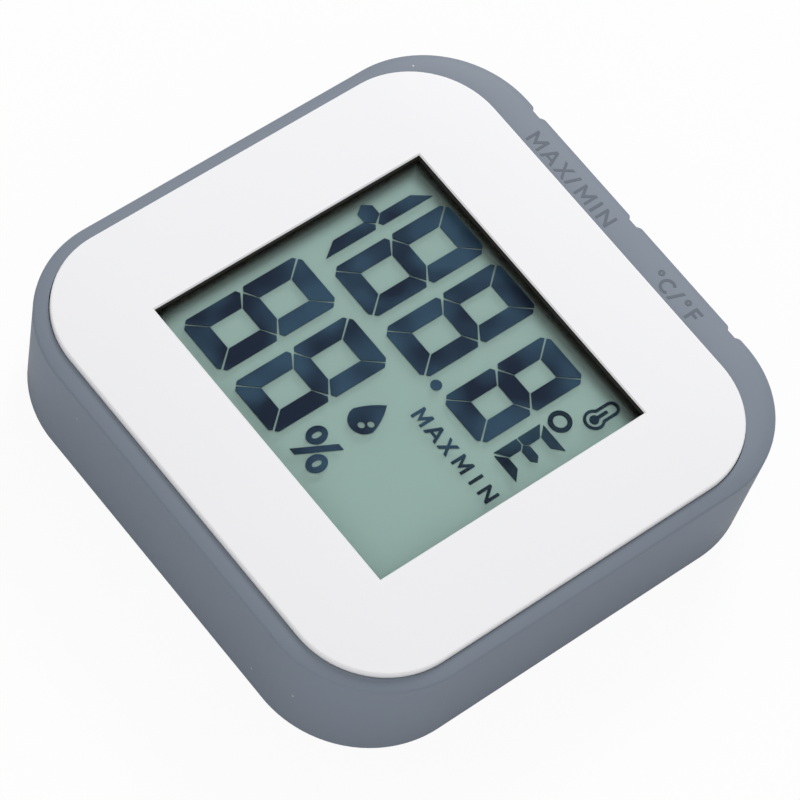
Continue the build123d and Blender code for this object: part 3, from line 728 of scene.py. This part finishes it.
@dataclass
class Display:
    """The display behind the window: gasket, glasses, figures and reflector."""

    dresser: Dresser
    alphabet: Alphabet = Alphabet(stroke=0.18)
    mist: float = 0.48
    side_cover: float = 1.45 * MM
    upper_cover: float = 1.22 * MM
    maximum: Word = Word("MAX", spans_mm((4.85, 6.5), (6.9, 8.75), (9.0, 10.5)), -3.35 * MM, 1.75 * MM)
    minimum: Word = Word(
        "MIN",
        spans_mm((11.25, 12.95), (14.0, 14.33), (15.35, 16.85)),
        -3.35 * MM,
        1.75 * MM,
    )

    def build(self) -> None:
        """Dresses the display and writes its two words."""
        self.dresser.paint("display_gasket", FOAM)
        self.dresser.paint("lcd_front_glass", FRONT_GLASS)
        window_low, window_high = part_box("display_gasket")
        # Both display sheets get a painted shadow under the window's left and upper edges, just inside the
        # gasket's cover.
        edges = (window_low.x + self.side_cover, window_high.y - self.upper_cover)
        self.dresser.paint("lcd_rear_glass", DisplayField("rear_glass", FIELD, self.mist, *edges))
        self.dresser.paint("lcd_reflector", DisplayField("reflector_film", FIELD, 1.0, *edges))
        self.dresser.reface("lcd_segments", INK)
        low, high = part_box("lcd_segments")
        for name, word in (("display_maximum", self.maximum), ("display_minimum", self.minimum)):
            mesh = word.mesh(name, self.alphabet, low.z, high.z - low.z)
            piece = new_piece(name, mesh, self.dresser.finish(INK), "root")
            log.info("%s: %d faces", name, len(mesh.polygons))


@dataclass
class Casing:
    """The white case, its back with the battery door and stand, and the screws."""

    dresser: Dresser
    wall_shade_reach: float = 0.1 * MM
    upright: float = 0.5

    def build(self) -> None:
        """Dresses the case and what shows on the back."""
        plate = self.dresser.reface("front_case", WHITE)
        # The window's inner wall gets a painted shade.
        self._paint_window_shade(plate.data)
        self.dresser.reface("back_case", WHITE)
        for node in ("battery_door", "stand_leg"):
            self.dresser.reface(node, DOOR_WHITE)
        for node in ("stand_pin", "case_screws", "board_screws"):
            self.dresser.reface(node, CONTACT)
        self.dresser.reface("magnets", MAGNET)

    def _paint_window_shade(self, mesh: bpy.types.Mesh) -> None:
        """Colours the window's inner wall near-black below its bevel, a painted shade on white plastic that
        lies in shadow.

        Args:
            mesh: The plate's mesh; a wall face is upright, inside the window's rim, and high up.
        """
        # Second slot: the painted shade for the upright wall faces.
        mesh.materials.append(self.dresser.finish(WINDOW_WALL_SHADE))
        low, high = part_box("display_gasket")
        for face in mesh.polygons:
            x, y, z = face.center
            inside = low.x < x < high.x and low.y < y < high.y
            if inside and z > high.z - self.wall_shade_reach and abs(face.normal.z) < self.upright:
                face.material_index = 1


@dataclass
class Works:
    """What the case holds: the board and its parts, the holder, and the battery."""

    dresser: Dresser

    def build(self) -> None:
        """Dresses the pieces inside."""
        finishes = {
            "lcd_holder": HOLDER,
            "zebra_strip": ZEBRA,
            "circuit_board": BOARD,
            "max_min_switch": SWITCH,
            "unit_switch": SWITCH,
            "max_min_plunger": PLUNGER,
            "unit_plunger": PLUNGER,
            "controller_chip": RESIN,
            "board_capacitors": CERAMIC,
            "crystal": CELL,
            "humidity_sensor": SENSOR,
            "temperature_probe": RESIN,
            "coin_cell": CELL,
            "negative_contact": CONTACT,
            "positive_contact": CONTACT,
        }
        for node, finish in finishes.items():
            self.dresser.paint(node, finish)


@dataclass
class Studio:
    """Pale floor, soft lamps, and the camera at the photograph's angle."""

    eye: tuple[float, float, float] = (148.69 * MM, -201.14 * MM, 406.02 * MM)
    turn: tuple[float, float, float] = (2.3066, 1.1738, -0.1211)
    focal_pixels: float = 4690.0
    floor_half: float = 3.0
    floor_drop: float = 0.01 * MM
    sky: float = 0.63
    key_power: float = 7.0
    key_place: tuple[float, float, float] = (-0.50, 0.72, 0.68)
    key_side: float = 0.35
    fill_power: float = 1.0
    fill_place: tuple[float, float, float] = (0.38, -0.48, 0.16)
    fill_side: float = 0.5
    floor_paint: Color = (0.8, 0.8, 0.8)
    floor_white: float = 0.93

    def build(self) -> None:
        """Makes the floor, the lamps, the sky and the camera."""
        self._floor()
        self._sky()
        self._lamp("key_lamp", self.key_power, self.key_place, self.key_side)
        self._lamp("fill_lamp", self.fill_power, self.fill_place, self.fill_side)
        self._camera()

    def _floor(self) -> None:
        """Lays the floor, which shows white and keeps a faint shadow."""
        half, level = self.floor_half, -self.floor_drop
        corners = [(-half, -half, level), (half, -half, level), (half, half, level), (-half, half, level)]
        mesh = bpy.data.meshes.new("floor")
        mesh.from_pydata(corners, [], [(0, 1, 2, 3)])
        floor = bpy.data.objects.new("floor", mesh)
        bpy.context.scene.collection.objects.link(floor)
        material, graph = new_material("pale_floor", bare=True)
        paint = graph.new("BsdfDiffuse")
        paint.inputs["Color"].default_value = (*self.floor_paint, 1)
        seen = graph.new("LightPath").outputs["Is Camera Ray"]
        graph.surface(graph.math(Sum.TIMES, seen, self.floor_white), paint, graph.new("Emission"))
        mesh.materials.append(material)

    def _sky(self) -> None:
        """Fills the scene with even light, and shows white to the camera."""
        world = bpy.data.worlds.new("soft_sky")
        bpy.context.scene.world = world
        world.use_nodes = True
        nodes, links = world.node_tree.nodes, world.node_tree.links
        back = nodes["Background"]
        back.inputs["Color"].default_value = (1, 1, 1, 1)
        ray = nodes.new("ShaderNodeLightPath")
        level = nodes.new("ShaderNodeMapRange")
        level.inputs["To Min"].default_value = self.sky
        level.inputs["To Max"].default_value = 1.0
        links.new(ray.outputs["Is Camera Ray"], level.inputs["Value"])
        links.new(level.outputs["Result"], back.inputs["Strength"])

    def _lamp(self, name: str, power: float, place: tuple[float, float, float], side: float) -> None:
        """Hangs a soft square lamp that faces the meter.

        Args:
            name: The lamp's name.
            power: Its power in watts.
            place: Where it hangs.
            side: The length of its side.
        """
        light = bpy.data.lights.new(name, "AREA")
        light.energy = power
        light.size = side
        lamp = bpy.data.objects.new(name, light)
        lamp.location = place
        lamp.rotation_euler = Vector(place).to_track_quat("Z", "Y").to_euler()
        bpy.context.scene.collection.objects.link(lamp)

    def _camera(self) -> None:
        """Sets the camera, fitted to the plate's, the crease's and the back's lines in the photograph."""
        data = bpy.data.cameras.new("camera")
        data.sensor_width = SENSOR_MM
        data.lens = self.focal_pixels / PHOTO_SIDE * SENSOR_MM
        data.clip_start = 0.01
        camera = bpy.data.objects.new("camera", data)
        turn = Vector(self.turn)
        device_to_photo = Matrix.Rotation(turn.length, 3, turn.normalized())
        flip = Matrix(((1, 0, 0), (0, -1, 0), (0, 0, -1)))
        rotation = (flip @ device_to_photo).transposed().to_4x4()
        camera.matrix_world = Matrix.Translation(self.eye) @ rotation
        bpy.context.scene.collection.objects.link(camera)
        bpy.context.scene.camera = camera


def main() -> None:
    """Builds every sub-assembly in order, and then the studio."""
    logging.basicConfig(level=logging.INFO, format="%(message)s")
    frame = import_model()
    dresser = Dresser(frame["nodes"])
    for part in (SoftSleeve(dresser), Display(dresser), Casing(dresser), Works(dresser)):
        part.build()
    Studio().build()
    bpy.context.scene.view_settings.view_transform = "Standard"


if __name__ == "__main__":
    main()
